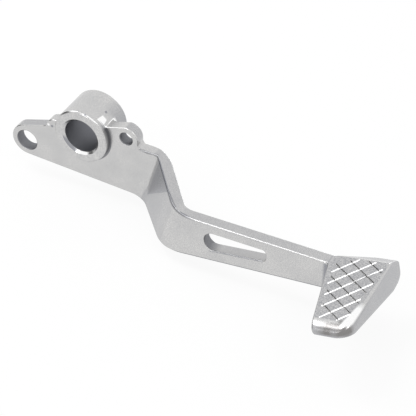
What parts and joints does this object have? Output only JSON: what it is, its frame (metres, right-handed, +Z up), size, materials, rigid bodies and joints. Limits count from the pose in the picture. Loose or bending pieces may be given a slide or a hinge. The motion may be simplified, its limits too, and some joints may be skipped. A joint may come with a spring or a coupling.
{
  "type": "rear brake pedal",
  "caption": "One-piece aluminium foot pedal with a pivot boss, pushrod eye, spring lug, offset slotted arm and a grooved wedge tread.",
  "frame": {"origin": "on the pivot axis, in the outboard face of the heel plate", "axes": "+X forward to the tread, +Y inboard along the pivot axis, +Z up"},
  "size_m": [0.1949, 0.0816, 0.0395],
  "materials": {
    "bare_aluminium": "satin"
  },
  "bodies": {
    "root": {"brake_pedal": "bare_aluminium"}
  },
  "joints": []
}
